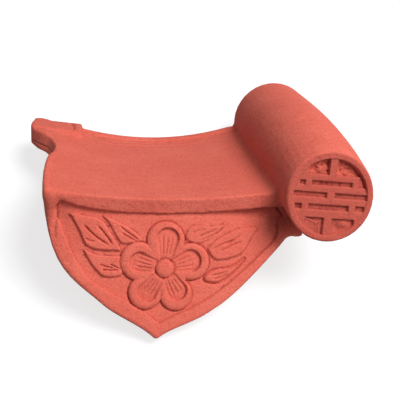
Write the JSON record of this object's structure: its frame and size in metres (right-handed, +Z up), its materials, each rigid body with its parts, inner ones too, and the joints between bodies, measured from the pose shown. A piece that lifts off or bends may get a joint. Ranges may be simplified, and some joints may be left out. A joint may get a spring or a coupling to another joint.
{
  "type": "decorative eaves tile",
  "caption": "Fired-clay eaves tile with a concave pan, a hollow round roll ending in a carved roundel, and a pointed drip apron with a flower and leaves in relief.",
  "frame": {"origin": "middle of the bounding box on plan, on the ground that the tile lies on", "axes": "+Z up with the tile lying on its apron point, pan and roll edge; +X from the hooked left edge to the roll; +Y from the carved apron to the rear"},
  "size_m": [0.3122, 0.2836, 0.1382],
  "materials": {
    "terracotta": "matte unglazed fired clay"
  },
  "bodies": {
    "root": {"tile": "terracotta"}
  },
  "joints": []
}
